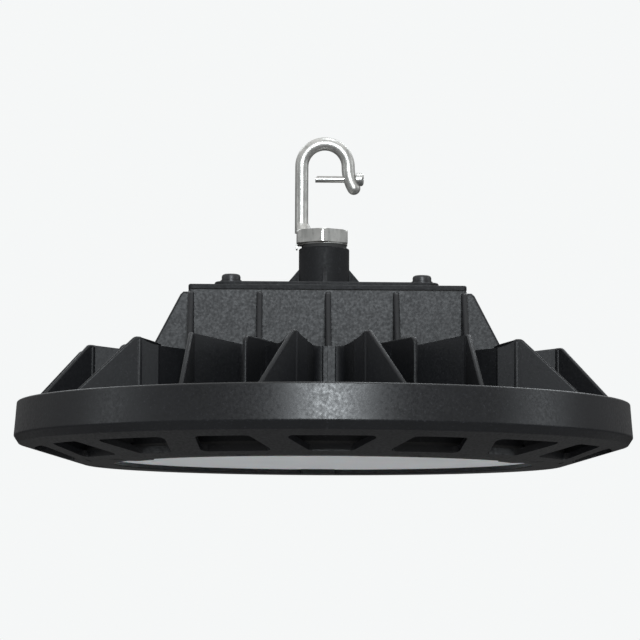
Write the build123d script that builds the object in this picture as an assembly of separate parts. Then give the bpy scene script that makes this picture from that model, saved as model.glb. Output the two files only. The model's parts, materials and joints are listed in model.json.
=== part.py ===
from build123d import *
import os
from math import acos, cos, degrees, hypot, radians, sin, sqrt, tan

# High bay light: a round die-cast LED fixture that hangs from a hook.
# Millimetres. The origin is the centre of the bezel's underside, +Z is up,
# and the front faces -Y. The light shines down through the lens.
# An inset is measured inward from the edge that encloses the feature.

# Driver housing's width, the LED plate's edge beyond its sides, and the cone's reach.
# Everything outside the housing follows outward from these three.
housing_width = 142.2
plate_margin = 59.9
cone_reach = 37.0
# Repeat of fins and vents round the body
sector_count = 9

# Clearances
lens_clearance = 0.3
screw_clearance = 0.25
thread_clearance = 0.05
fin_ring_clearance = 0.4
lead_clearance = 0.1

# How far cutters run past a face and joined pieces reach into one another
overrun = 1.0
# How near a corner lies to the spot that is named for it
corner_match = 0.01

# Vent ring casting: bezel, vented cone and outer band
ring_top = 32.4
band_wall = 3.2
band_taper = 1.4
band_foot_rise = 3.9
band_foot_round = 2.2
band_corner_inset = 2.6
band_corner_round = 1.6
band_top_round = 1.0
cone_angle = 16.7
cone_wall = 3.1
bezel_width = 16.4
bezel_thickness = 2.7
bezel_outer_round = 2.0
bezel_inner_round = 0.8
vent_inner_gap = 5.0
vent_outer_inset = 11.0
pair_vent_inner_half = 4.35
pair_vent_outer_half = 8.6
single_vent_inner_half = 8.15
single_vent_outer_half = 5.1
vent_corner_radius = 3.0
lug_count = 3
lug_width = 19.6
lug_reach = 5.0
lug_root = 2.7
lug_round = 1.2
accessory_inset = 2.0
accessory_hole_radius = 1.65
dimple_angle = 71.9
dimple_radius = 1.9
dimple_depth = 2.0

# Lens, gasket and the screws that clamp the ring to the heat sink
lens_overlap = 2.0
lens_thickness = 2.2
lens_gasket_thickness = 1.5
ring_screw_inset = 4.0
ring_screw_radius = 2.0
ring_screw_head_radius = 3.8
ring_screw_sink = 0.2
ring_screw_length = 13.0
cross_slot_width = 1.0
cross_slot_depth = 0.8

# Heat sink base
rim_overhang = 3.0
rim_width = 14.0
rim_depth = 5.6
led_plate_thickness = 4.0

# Pleated wall on the heat sink, given for half of one sector
wall_thickness = 2.6
wall_round = 5.0
post_inset = 3.0
post_radius = 1.7
post_shortfall = 1.2
tail_inset = 9.4
tail_angle = 5.75
recess_inset = 31.0
recess_half_angle = 4.2
valley_shoulder_inset = 27.1
valley_shoulder_angle = 14.1
valley_inset = 34.0
wall_top = 56.2
wall_top_rise = 0.14
recess_top = 55.2
saddle_rise = 1.2
saddle_sag = 1.1
saddle_reach = 0.8
recess_rib_width = 7.0
recess_rib_depth = 2.2
recess_rib_round = 0.8
recess_fin_thickness = 1.6
recess_fin_depth = 1.8

# Fins
fin_thickness = 2.4
fin_edge_radius = 1.0
fin_top = 60.6
fin_shoulder = 2.6
fin_slope = 43.5
fin_corner_radius = 3.2
fin_foot_angle = 12.65
fin_foot_inset = 8.0
fin_lip_gap = 1.5
fin_rim_gap = 0.6
fin_root = 2.0
single_fin_top = 59.2
single_fin_inset = 5.0
single_fin_corner = 4.0

# Driver housing, cast in one with the heat sink
housing_wall = 4.0
housing_corner = 1.5
housing_top = 86.4
cavity_corner = 5.0
housing_rib_count = 5
housing_rib_thickness = 3.0
housing_rib_edge = 1.2
housing_rib_step = 4.0
housing_rib_bevel = 1.5
housing_rib_head = 1.4
housing_rib_flare = 27.5
housing_rib_reach = 26.0
cover_screw_inset = 21.5
cover_boss_radius = 6.0

# Cover with the suspension stem
cover_gasket_thickness = 0.6
cover_gasket_width = 3.2
cover_plate_thickness = 2.4
cover_crown_inset = 13.0
cover_crown_corner = 6.0
cover_crown_rise = 3.2
cover_skin = 3.0
cover_pocket_corner = 4.0
cover_edge_radius = 1.0
stem_radius = 13.65
stem_rise = 24.6
stem_round = 0.8
stem_bore_radius = 10.1
stem_bore_depth = 20.0
lead_passage_radius = 6.0
gusset_thickness = 2.4
gusset_reach = 10.8
gusset_height = 13.2
gusset_toe = 0.4

# Cover screws and washers
cover_screw_radius = 2.5
cover_screw_length = 18.0
cover_screw_head_radius = 4.9
cover_screw_head_height = 3.3
cover_screw_head_round = 1.5
cover_screw_socket = 1.5
cover_screw_socket_depth = 2.0
cover_washer_radius = 5.5
cover_washer_thickness = 1.1
screw_tip_gap = 2.0

# Suspension hook and what seats it
hook_washer_thickness = 0.8
hook_washer_radius = 12.6
hook_tab_width = 6.0
hook_tab_reach = 15.2
hook_tab_drop = 3.0
hook_gasket_thickness = 1.8
hook_gasket_radius = 12.2
hook_hex_flats = 27.4
hook_hex_height = 7.0
hook_hex_offset = -1.2
hook_hex_chamfer = 1.0
hook_hex_trim = 0.3
hook_stub_radius = 10.0
hook_stub_gap = 1.5
hook_stub_chamfer = 1.0
hook_rod_radius = 3.6
hook_bend_radius = 12.6
hook_eye_rise = 35.6
hook_eye_offset = 0.3
hook_tip_bend = 29.7
hook_tip_bend_radius = 23.6
hook_foot_flare = 2.4
hook_foot_flare_height = 4.6

# Screw that closes the hook, and the set screw that locks its thread
lock_screw_drop = 6.9
lock_screw_radius = 1.8
lock_screw_gap = 3.8
lock_screw_tip_angle = 40.0
lock_screw_seat = 0.9
lock_screw_head_radius = 3.6
lock_screw_head_thickness = 3.9
lock_screw_head_round = 1.5
set_screw_drop = 9.5
set_screw_radius = 2.5
set_screw_socket = 1.25
set_screw_socket_depth = 1.8

# LED board
board_inset = 9.0
board_thickness = 1.6
pad_thickness = 0.4
led_size = 3.0
led_height = 0.7
led_ring_insets = (78.0, 56.0, 34.0, 15.0)
led_ring_counts = (9, 18, 27, 36)
board_screw_inset = 24.0
board_screw_radius = 1.5
board_screw_head_radius = 2.8
board_screw_head_height = 1.6
board_screw_head_round = 0.6
board_screw_length = 5.0
board_screw_gap = 0.3
lead_hole_gap = 15.0
lead_hole_y = -22.0
lead_hole_radius = 4.5
grommet_flange_radius = 6.5
grommet_flange_thickness = 1.5
board_terminal_size = (12.0, 9.0, 3.6)
board_terminal_gap = 9.0
board_terminal_entry = 3.0

# Driver and wiring inside the housing
driver_side_gap = 26.0
driver_end_gap = 11.0
driver_height = 36.0
driver_offset = -5.0
driver_corner = 4.0
driver_edge = 1.5
driver_pad_thickness = 1.0
driver_ear_length = 4.5
driver_ear_thickness = 2.5
driver_ear_inset = 5.0
driver_screw_radius = 1.8
driver_screw_head_radius = 2.2
driver_screw_head_height = 2.0
driver_screw_depth = 2.8
driver_screw_gap = 0.4
driver_screw_inset = 15.0
driver_exit_height = 20.0
terminal_block_size = (34.0, 16.0, 12.0)
terminal_block_chamfer = 0.8
terminal_block_setback = 30.0
terminal_pitch = 9.0
terminal_well_radius = 2.2
terminal_well_depth = 3.0
terminal_well_offset = -3.0
terminal_entry_height = 4.0
terminal_entry_depth = 4.0
earth_entry_height = 8.0
wire_radius = 1.2
wire_bend = 4.0
core_bend = 2.0
jacket_radius = 2.2
jacket_bend = 6.0
supply_lead_pitch = 2.6
supply_lead_start = 6.5
supply_lead_run = 11.0
supply_lead_entry = 3.0
earth_boss_radius = 5.0
earth_boss_height = 8.0
earth_boss_gap = 15.0
earth_boss_setback = 8.0
earth_lead_run = 10.2
earth_screw_radius = 1.9
earth_screw_head_radius = 3.6
earth_screw_head_height = 2.4
earth_screw_head_round = 0.8
earth_screw_slot_width = 0.9
earth_screw_slot_depth = 1.2
earth_screw_depth = 6.0
earth_screw_gap = 0.5
ring_tongue_radius = 4.2
ring_tongue_thickness = 0.9
ring_barrel_size = (2.8, 5.0, 2.9)

# Cable gland and breather in the housing's rear wall
wall_fitting_drop = 12.5
gland_thread_radius = 8.0
gland_hex_flats = 19.0
gland_hex_thickness = 4.0
gland_collet_radius = 7.0
gland_collet_length = 12.0
gland_nut_flats = 18.0
gland_nut_length = 13.0
gland_nut_gap = 0.6
gland_nut_dome = 4.0
gland_nut_trim = 0.2
gland_cable_radius = 4.2
gland_seal_radius = 6.0
gland_seal_length = 10.0
gland_locknut_flats = 20.0
gland_locknut_thickness = 3.5
gland_inner_length = 9.0
gland_mouth_radius = 5.0
breather_thread_radius = 6.0
breather_thread_length = 7.5
breather_cap_radius = 8.0
breather_cap_height = 6.0
breather_cap_round = 1.2
breather_slot_width = 2.0
breather_slot_height = 1.6
breather_slot_rise = 3.3
breather_vent_radius = 1.5
breather_nut_flats = 16.0
breather_nut_thickness = 3.0
breather_ring_inset = 0.5
breather_ring_thickness = 1.4

housing_half = housing_width / 2
cavity_half = housing_half - housing_wall
rim_outer_radius = housing_half + plate_margin
sector_angle = 360 / sector_count
ring_slope = tan(radians(cone_angle))
bezel_outer_radius = rim_outer_radius - rim_overhang
fixture_radius = bezel_outer_radius + cone_reach
bezel_inner_radius = bezel_outer_radius - bezel_width
vent_inner_radius = bezel_outer_radius + vent_inner_gap
vent_outer_radius = fixture_radius - vent_outer_inset
band_inside_top = fixture_radius - band_taper - band_wall
lens_radius = bezel_outer_radius + lens_overlap
lens_bottom = bezel_thickness
lens_top = lens_bottom + lens_thickness
ring_screw_circle = bezel_outer_radius - ring_screw_inset
rim_inner_radius = rim_outer_radius - rim_width
rim_bottom = lens_top + lens_gasket_thickness
led_plate_bottom = rim_bottom + rim_depth
plate_top = led_plate_bottom + led_plate_thickness
post_circle_radius = rim_outer_radius - post_inset
tail_radius = post_circle_radius - tail_inset
recess_radius = post_circle_radius - recess_inset
valley_shoulder_radius = post_circle_radius - valley_shoulder_inset
valley_radius = post_circle_radius - valley_inset
single_fin_radius = post_circle_radius - single_fin_inset
rib_spacing = (housing_width - housing_rib_thickness) / (housing_rib_count - 1)
cover_screw_offset = housing_half - cover_screw_inset
cover_bottom = housing_top + cover_gasket_thickness
cover_plate_top = cover_bottom + cover_plate_thickness
crown_half = housing_half - cover_crown_inset
crown_top = cover_plate_top + cover_crown_rise
crown_inside = crown_top - cover_skin
stem_top = crown_top + stem_rise
hook_seat = stem_top + hook_gasket_thickness + hook_washer_thickness
hex_top = hook_seat + hook_hex_height
hook_eye_height = hex_top + hook_eye_rise
hook_shank_x = hook_eye_offset - hook_bend_radius
hook_open_x = hook_eye_offset + hook_bend_radius
lock_screw_height = hook_eye_height - lock_screw_drop
lock_screw_seat_x = hook_open_x + hook_rod_radius + lock_screw_seat
set_screw_height = stem_top - set_screw_drop
board_radius = rim_inner_radius - board_inset
board_bottom = led_plate_bottom - pad_thickness - board_thickness
board_screw_circle = board_radius - board_screw_inset
driver_width = 2 * (cavity_half - driver_side_gap)
driver_length = 2 * (cavity_half - driver_end_gap)
driver_bottom = plate_top + driver_pad_thickness
driver_top = driver_bottom + driver_height
driver_ear_top = driver_bottom + driver_ear_thickness
lead_hole_x = driver_width / 2 + lead_hole_gap
board_terminal_x = lead_hole_x - board_terminal_gap - board_terminal_size[0] / 2
terminal_block_y = driver_offset + driver_length / 2 - terminal_block_setback
earth_boss_x = -driver_width / 2 - earth_boss_gap
earth_boss_y = terminal_block_y - earth_boss_setback
earth_boss_top = plate_top + earth_boss_height
wall_fitting_height = housing_top - wall_fitting_drop
gland_x = rib_spacing / 2
gland_bore_top = gland_hex_thickness + gland_collet_length
breather_x = -rib_spacing / 2


def cone_underside(radius):
    """Height of the cone's lower face at a radius."""
    return (radius - bezel_outer_radius) * ring_slope


def cone_upperside(radius):
    """Height of the cone's upper face at a radius."""
    return cone_underside(radius) + cone_wall


def plan_point(radius, angle):
    """Plan position at a radius, with the angle counted from the front towards +X."""
    return radius * sin(radians(angle)), -radius * cos(radians(angle))


def turned(shape, angle):
    """The shape turned about the fixture's axis."""
    return Rot(0, 0, angle) * shape


def repeated(shape, count, first=0.0):
    """Copies of a shape, evenly spaced about the axis."""
    return [turned(shape, first + i * 360 / count) for i in range(count)]


def at_cover_screws(shape):
    """Four copies of a shape, one at each cover screw."""
    offset_in_plan = cover_screw_offset
    return [Pos(x * offset_in_plan, y * offset_in_plan, 0) * shape for x in (-1, 1) for y in (-1, 1)]


def rod(radius, bottom, top, x=0.0, y=0.0):
    """Upright cylinder between two heights."""
    height = top - bottom
    return Pos(x, y, bottom + height / 2) * Cylinder(radius, height)


def tube(outer, inner, bottom, top, x=0.0, y=0.0):
    """Upright ring between two heights."""
    return rod(outer, bottom, top, x, y) - rod(inner, bottom - overrun, top + overrun, x, y)


def block(width, depth, bottom, top, x=0.0, y=0.0):
    """Upright box between two heights."""
    height = top - bottom
    return Pos(x, y, bottom + height / 2) * Box(width, depth, height)


def square_block(half, bottom, top, corner):
    """Upright square block about the axis, with rounded upright edges."""
    return fillet(block(2 * half, 2 * half, bottom, top).edges().filter_by(Axis.Z), corner)


def hexagon(flats, bottom, top):
    """Upright hexagonal prism, with a corner towards -Y and +Y."""
    face = RegularPolygon(flats / 2, 6, major_radius=False, rotation=30)
    return Pos(0, 0, bottom) * extrude(face, top - bottom)


def top_edges(shape):
    """The edges round a shape's highest face."""
    return shape.faces().sort_by(Axis.Z)[-1].edges()


def rearward(shape, x, height, start):
    """Lays an upright shape down along +Y, with its base at a wall."""
    return Pos(x, start, height) * Rot(-90, 0, 0) * shape


def profile(points):
    """Face on the XZ plane from corners of distance and height."""
    return make_face(Polyline(*[(s, 0, z) for s, z in points], close=True))


def rounded_corner(face, spot, radius):
    """The face with the corner at one spot rounded."""
    near = [v for v in face.vertices() if hypot(v.X - spot[0], v.Z - spot[1]) < corner_match]
    return fillet(near, radius)


def plate_from(face, thickness):
    """Upright plate of a thickness, centred on the XZ plane."""
    return extrude(face, thickness / 2, dir=(0, 1, 0), both=True)


def rounded_plate(face, thickness, edge_radius, rounded_above):
    """Upright plate whose free edges above a height are rounded."""
    plate = plate_from(face, thickness)
    side = thickness / 2
    sides = [e for e in plate.edges() if abs(abs(e.center().Y) - side) < corner_match]
    free = [e for e in sides if e.center().Z > rounded_above]
    return fillet(free, edge_radius)


def wire_run(points, radius, bend):
    """Round lead of straight runs joined by arcs."""
    path = FilletPolyline(*points, radius=bend)
    start = Plane(origin=path @ 0, z_dir=path % 0)
    return sweep(start * Circle(radius), path)


def distance_along(start, heading, radius):
    """How far a plan line runs from its start before it reaches a radius."""
    along = start[0] * heading[0] + start[1] * heading[1]
    rest = start[0] ** 2 + start[1] ** 2 - radius**2
    return -along + sqrt(along**2 - rest)


def fin_line():
    """Start and heading in plan of the +X fin of a pair, from the wall's tail outward."""
    tail = plan_point(tail_radius, tail_angle)
    foot = plan_point(fixture_radius - fin_foot_inset, fin_foot_angle)
    length = hypot(foot[0] - tail[0], foot[1] - tail[1])
    return tail, ((foot[0] - tail[0]) / length, (foot[1] - tail[1]) / length)


def post_place():
    """Plan position of the post on the +X fin of the front pair."""
    tail, heading = fin_line()
    distance = distance_along(tail, heading, post_circle_radius)
    return tail[0] + distance * heading[0], tail[1] + distance * heading[1]


def vent_cutter(inner_half, outer_half):
    """Upright prism through the cone for one vent, centred on the front."""
    a = plan_point(vent_inner_radius, -inner_half)
    b = plan_point(vent_inner_radius, inner_half)
    c = plan_point(vent_outer_radius, outer_half)
    d = plan_point(vent_outer_radius, -outer_half)
    sides = [
        ThreePointArc(a, plan_point(vent_inner_radius, 0), b),
        Line(b, c),
        ThreePointArc(c, plan_point(vent_outer_radius, 0), d),
        Line(d, a),
    ]
    face = make_face(sides)
    face = fillet(face.vertices(), vent_corner_radius)
    return Pos(0, 0, -overrun) * extrude(face, ring_top)


def ring_screw_holes(radius, bottom, top):
    """Cutters at the screws that clamp the ring, one halfway between two pairs."""
    x, y = plan_point(ring_screw_circle, 0)
    return repeated(rod(radius, bottom, top, x, y), sector_count, sector_angle / 2)


def make_vent_ring():
    """Outer band, vented cone and bezel, cast in one."""
    corner_radius = fixture_radius - band_corner_inset
    lip_radius = bezel_outer_radius + (lens_top - cone_wall) / ring_slope
    inside = fixture_radius - band_wall
    corner = (corner_radius, cone_underside(corner_radius))
    foot = (fixture_radius, corner[1] + band_foot_rise)
    outer_top = (fixture_radius - band_taper, ring_top)
    inner_top = (band_inside_top, ring_top)
    hollow = (inside, cone_upperside(inside))
    outline = [
        (bezel_inner_radius, 0),
        (bezel_outer_radius, 0),
        corner,
        foot,
        outer_top,
        inner_top,
        hollow,
        (lip_radius, lens_top),
        (lens_radius + lens_clearance, lens_top),
        (lens_radius + lens_clearance, lens_bottom),
        (bezel_inner_radius, lens_bottom),
    ]
    face = profile(outline)
    face = rounded_corner(face, corner, band_corner_round)
    face = rounded_corner(face, foot, band_foot_round)
    face = rounded_corner(face, outer_top, band_top_round)
    face = rounded_corner(face, inner_top, band_top_round)
    face = rounded_corner(face, hollow, bezel_outer_round)
    face = rounded_corner(face, (bezel_outer_radius, 0), bezel_outer_round)
    face = rounded_corner(face, (bezel_inner_radius, 0), bezel_inner_round)
    ring = revolve(face, Axis.Z)

    lug_middle = bezel_inner_radius + (lug_root - lug_reach) / 2
    lug = block(lug_width, lug_reach + lug_root, 0, lens_bottom, 0, -lug_middle)
    lug = fillet(lug.edges().filter_by(Axis.Z).group_by(Axis.Y)[-1], lug_round)
    ring = ring + repeated(lug, lug_count, 180)

    pair_vent = vent_cutter(pair_vent_inner_half, pair_vent_outer_half)
    single_vent = vent_cutter(single_vent_inner_half, single_vent_outer_half)
    cutters = repeated(pair_vent, sector_count)
    cutters += repeated(single_vent, sector_count, sector_angle / 2)
    hole_radius = ring_screw_radius + screw_clearance
    cutters += ring_screw_holes(hole_radius, -overrun, lens_bottom + overrun)
    sink_depth = ring_screw_head_radius - ring_screw_radius
    sink = Cone(ring_screw_head_radius + screw_clearance, hole_radius, sink_depth)
    sink = Pos(0, -ring_screw_circle, sink_depth / 2) * sink
    cutters += repeated(sink, sector_count, sector_angle / 2)
    accessory_circle = bezel_inner_radius - accessory_inset
    hole = rod(accessory_hole_radius, -overrun, lens_bottom + overrun, 0, -accessory_circle)
    cutters += repeated(hole, lug_count, 180)
    dimple = rod(dimple_radius, -overrun, dimple_depth, 0, -bezel_outer_radius - dimple_radius / 2)
    for angle in (dimple_angle, -dimple_angle, 180 - dimple_angle, dimple_angle - 180):
        cutters.append(turned(dimple, angle))
    return ring - cutters


def saddle_cutter():
    """Cutter over the hollow top between the two fins of the front pair."""
    tail = fin_line()[0]
    post_x, post_y = post_place()
    inner = (recess_radius - 2 * wall_thickness, 0, recess_top)
    low = (-tail[1], 0, recess_top + saddle_rise)
    high = (saddle_reach - post_y, 0, fin_top)
    middle = ((low[0] + high[0]) / 2, 0, (low[2] + high[2]) / 2 - saddle_sag)
    above = fin_top + overrun
    sides = [
        Line(inner, low),
        ThreePointArc(low, middle, high),
        Polyline(high, (high[0], 0, above), (inner[0], 0, above), inner),
    ]
    return turned(plate_from(make_face(sides), 2 * post_x), -90)


def make_wall():
    """Pleated wall of the heat sink, lower in the valleys than at the posts."""
    post = post_place()
    half = [
        plan_point(recess_radius, recess_half_angle),
        plan_point(tail_radius, tail_angle),
        post,
        plan_point(valley_shoulder_radius, valley_shoulder_angle),
    ]
    valley = plan_point(valley_radius, sector_angle / 2)
    one_sector = [(-x, y) for x, y in reversed(half)] + half + [valley]
    outline = []
    for sector in range(sector_count):
        turn = radians(sector * sector_angle)
        for x, y in one_sector:
            outline.append((x * cos(turn) - y * sin(turn), x * sin(turn) + y * cos(turn)))
    outer = make_face(Polyline(*outline, close=True))
    soft_within = (valley_shoulder_radius + tail_radius) / 2
    soft = [v for v in outer.vertices() if hypot(v.X, v.Y) < soft_within]
    outer = fillet(soft, wall_round)
    inner = offset(outer, -wall_thickness, kind=Kind.INTERSECTION)
    wall = Pos(0, 0, plate_top - overrun) * extrude(outer - inner, fin_top - plate_top + overrun)

    low = valley_radius - 2 * wall_thickness - wall_round
    high = rim_outer_radius + overrun
    trim = profile(
        [
            (low, wall_top + (low - recess_radius) * wall_top_rise),
            (high, wall_top + (high - recess_radius) * wall_top_rise),
            (high, fin_top + overrun),
            (low, fin_top + overrun),
        ]
    )
    return wall - [revolve(trim, Axis.Z), *repeated(saddle_cutter(), sector_count)]


def pair_fin():
    """The fin of a pair on the +X side, from the wall's tail out over a strut."""
    tail, heading = fin_line()
    end_radius = band_inside_top - fin_ring_clearance - fin_thickness / 2
    lip_radius = vent_inner_radius + fin_lip_gap
    shoulder = distance_along(tail, heading, post_circle_radius) + fin_shoulder
    end = distance_along(tail, heading, end_radius)
    rim = distance_along(tail, heading, rim_outer_radius)
    lip = distance_along(tail, heading, lip_radius)
    lip_floor = cone_upperside(lip_radius) + fin_ring_clearance
    drop = (end - shoulder) * tan(radians(fin_slope))
    face = profile(
        [
            (0, fin_top),
            (shoulder, fin_top),
            (end, fin_top - drop),
            (end, cone_upperside(end_radius) + fin_ring_clearance),
            (lip, lip_floor),
            (rim + fin_rim_gap, lip_floor),
            (rim + fin_rim_gap, rim_bottom + overrun),
            (rim - fin_root, rim_bottom + overrun),
            (rim - fin_root, plate_top - overrun),
            (0, plate_top - overrun),
        ]
    )
    face = rounded_corner(face, (shoulder, fin_top), fin_corner_radius)
    plate = rounded_plate(face, fin_thickness, fin_edge_radius, plate_top)
    turn = degrees(acos(heading[0]))
    return Pos(tail[0], tail[1], 0) * Rot(0, 0, -turn) * plate - saddle_cutter()


def single_fin():
    """The radial fin between two pairs, built towards +X."""
    inner = housing_half - housing_wall / 2
    face = profile(
        [
            (inner, plate_top - overrun),
            (single_fin_radius, plate_top - overrun),
            (single_fin_radius, single_fin_top),
            (inner, single_fin_top),
        ]
    )
    face = rounded_corner(face, (single_fin_radius, single_fin_top), single_fin_corner)
    return rounded_plate(face, fin_thickness, fin_edge_radius, plate_top)


def housing_rib():
    """One flared rib of the driver housing, built towards +X."""
    inner = housing_half - housing_wall / 2
    tip = housing_half + housing_rib_step
    reach = housing_half + housing_rib_reach
    rib_top = housing_top - overrun
    slope_top = rib_top - housing_rib_head
    slope_low = slope_top - (reach - tip) / tan(radians(housing_rib_flare))
    face = profile(
        [
            (inner, plate_top - overrun),
            (reach, plate_top - overrun),
            (reach, slope_low),
            (tip, slope_top),
            (tip - housing_rib_bevel, rib_top),
            (inner, rib_top),
        ]
    )
    return rounded_plate(face, housing_rib_thickness, housing_rib_edge, plate_top)


def recess_boss():
    """Boss with a thin fin up the middle of each recess, centred on the front."""
    bottom = plate_top - overrun
    back = -recess_radius + wall_thickness / 2
    front = -recess_radius - recess_rib_depth
    fin_front = front - recess_fin_depth
    boss = block(recess_rib_width, back - front, bottom, recess_top, 0, (front + back) / 2)
    boss = fillet(boss.edges().filter_by(Axis.Z).group_by(Axis.Y)[0], recess_rib_round)
    fin_middle = (fin_front + back) / 2
    return boss + block(recess_fin_thickness, back - fin_front, bottom, recess_top, 0, fin_middle)


def housing_shape():
    """Driver housing with its ribs as a solid form that stands on the LED plate."""
    ribs = []
    rib = housing_rib()
    for number in range(housing_rib_count):
        across = (number - (housing_rib_count - 1) / 2) * rib_spacing
        ribs += repeated(Pos(0, across, 0) * rib, 4)
    form = square_block(housing_half, plate_top - overrun, housing_top, housing_corner) + ribs
    return form - rod(fixture_radius, plate_top - 2 * overrun, plate_top)


def make_driver_housing():
    """Open walls and ribs of the driver housing, cast in one with the heat sink."""
    cavity = square_block(cavity_half, plate_top - overrun, housing_top + overrun, cavity_corner)
    cutters = [cavity]
    for thread, x in ((gland_thread_radius, gland_x), (breather_thread_radius, breather_x)):
        wall_hole = rod(thread + thread_clearance, -overrun, housing_wall + overrun)
        cutters.append(rearward(wall_hole, x, wall_fitting_height, cavity_half))
    return housing_shape() - cutters


def make_heat_sink():
    """LED plate, pleated wall, fins and posts, with the bosses inside the housing."""
    base = rod(rim_outer_radius, rim_bottom, plate_top)
    base -= rod(rim_inner_radius, rim_bottom - overrun, led_plate_bottom)
    pieces = [make_wall()]
    right = pair_fin()
    pieces += repeated(right, sector_count)
    pieces += repeated(mirror(right, Plane.YZ), sector_count)
    post_x, post_y = post_place()
    for side in (-1, 1):
        post = rod(post_radius, plate_top - overrun, fin_top - post_shortfall, side * post_x, post_y)
        pieces += repeated(post, sector_count)
    pieces += repeated(single_fin(), sector_count, sector_angle / 2 - 90)
    pieces += repeated(recess_boss(), sector_count)
    sink = base + pieces - housing_shape()
    bosses = at_cover_screws(rod(cover_boss_radius, plate_top - overrun, cover_bottom))
    bosses.append(rod(earth_boss_radius, plate_top - overrun, earth_boss_top, earth_boss_x, earth_boss_y))
    sink = sink + bosses
    return sink - heat_sink_holes()


def heat_sink_holes():
    """Cutters for every screw and lead that enters the heat sink."""
    hole_floor = crown_top - cover_screw_length - screw_tip_gap
    cover_hole = rod(cover_screw_radius + thread_clearance, hole_floor, cover_bottom + overrun)
    cutters = at_cover_screws(cover_hole)
    ring_hole = ring_screw_radius + thread_clearance
    cutters += ring_screw_holes(ring_hole, rim_bottom - overrun, ring_screw_length + overrun)
    hole_top = board_bottom + board_screw_length + board_screw_gap
    board_hole = board_screw_radius + thread_clearance
    cutter = rod(board_hole, led_plate_bottom - overrun, hole_top, 0, -board_screw_circle)
    cutters += repeated(cutter, sector_count, sector_angle / 2)
    through_bottom = led_plate_bottom - overrun
    through_top = plate_top + overrun
    cutters.append(rod(lead_hole_radius, through_bottom, through_top, lead_hole_x, lead_hole_y))
    earth_hole = earth_screw_radius + thread_clearance
    earth_floor = earth_boss_top - earth_screw_depth
    cutters.append(rod(earth_hole, earth_floor, earth_boss_top + overrun, earth_boss_x, earth_boss_y))
    driver_hole = driver_screw_radius + thread_clearance
    for x, y in driver_screw_places():
        cutters.append(rod(driver_hole, plate_top - driver_screw_depth, through_top, x, y))
    return cutters


def driver_screw_places():
    """Plan positions of the four screws through the driver's ears."""
    across = driver_width / 2 - driver_screw_inset
    along = (driver_length + driver_ear_length) / 2
    return [(x * across, driver_offset + y * along) for x in (-1, 1) for y in (-1, 1)]


def make_cover():
    """Housing cover with its raised crown, hollow underside, stem and gussets."""
    plate = square_block(housing_half, cover_bottom, cover_plate_top, housing_corner)
    plate = fillet(top_edges(plate), cover_edge_radius)
    crown = square_block(crown_half, cover_bottom, crown_top, cover_crown_corner)
    crown = fillet(top_edges(crown), cover_edge_radius)
    stem = rod(stem_radius, cover_plate_top, stem_top)
    stem = fillet(top_edges(stem), stem_round)
    gusset = profile(
        [
            (0, cover_plate_top),
            (stem_radius + gusset_reach, cover_plate_top),
            (stem_radius + gusset_reach, crown_top + gusset_toe),
            (stem_radius, crown_top + gusset_height),
            (0, crown_top + gusset_height),
        ]
    )
    cover = plate + [crown, stem] + repeated(plate_from(gusset, gusset_thickness), 4)

    pocket_half = crown_half - cover_skin
    cover -= square_block(pocket_half, cover_bottom - overrun, crown_inside, cover_pocket_corner)
    columns = at_cover_screws(rod(cover_boss_radius, cover_bottom, crown_inside + overrun))
    columns.append(rod(lead_passage_radius + cover_skin, cover_bottom, crown_inside + overrun))
    cover = cover + columns

    screw_hole = rod(cover_screw_radius + screw_clearance, cover_bottom - overrun, crown_top + overrun)
    cutters = at_cover_screws(screw_hole)
    cutters.append(rod(stem_bore_radius, stem_top - stem_bore_depth, stem_top + overrun))
    cutters.append(rod(lead_passage_radius, cover_bottom - overrun, stem_top))
    set_hole = rod(set_screw_radius + thread_clearance, 0, stem_radius)
    cutters.append(rearward(set_hole, 0, set_screw_height, hook_stub_radius - overrun))
    return cover - cutters


def make_cover_gasket():
    """Flat seal between the housing's rim and the cover."""
    side = 2 * (cavity_half + cover_gasket_width)
    gasket = block(side, side, housing_top, cover_bottom)
    return gasket - square_block(cavity_half, housing_top - overrun, cover_bottom + overrun, cavity_corner)


def make_cover_screws():
    """Four socket-head screws that hold the cover."""
    head_bottom = crown_top + cover_washer_thickness
    head_top = head_bottom + cover_screw_head_height
    shank = rod(cover_screw_radius, head_bottom - cover_screw_length, head_bottom)
    head = rod(cover_screw_head_radius, head_bottom, head_top)
    head = fillet(top_edges(head), cover_screw_head_round)
    socket = extrude(RegularPolygon(cover_screw_socket, 6), head_top)
    screw = shank + head - Pos(0, 0, head_top - cover_screw_socket_depth) * socket
    return Compound(at_cover_screws(screw))


def make_cover_washers():
    """Four plain washers under the cover screws."""
    inner = cover_screw_radius + screw_clearance
    washer = tube(cover_washer_radius, inner, crown_top, crown_top + cover_washer_thickness)
    return Compound(at_cover_screws(washer))


def hook_foot():
    """Hexagonal foot of the hook, its corners turned down and its top bevelled."""
    foot = Pos(hook_hex_offset, 0, 0) * hexagon(hook_hex_flats, hook_seat, hex_top)
    shaping_radius = hook_hex_flats / sqrt(3) - hook_hex_trim
    shaping = rod(shaping_radius, hook_seat, hex_top, hook_hex_offset)
    return foot & chamfer(top_edges(shaping), hook_hex_chamfer)


def hook_tip_place(angle):
    """Centre of the hook's rod on the tip's bend, at an angle from the eye's height."""
    outward = hook_tip_bend_radius * (1 - cos(radians(angle)))
    downward = hook_tip_bend_radius * sin(radians(angle))
    return hook_open_x + outward, 0, hook_eye_height - downward


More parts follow.
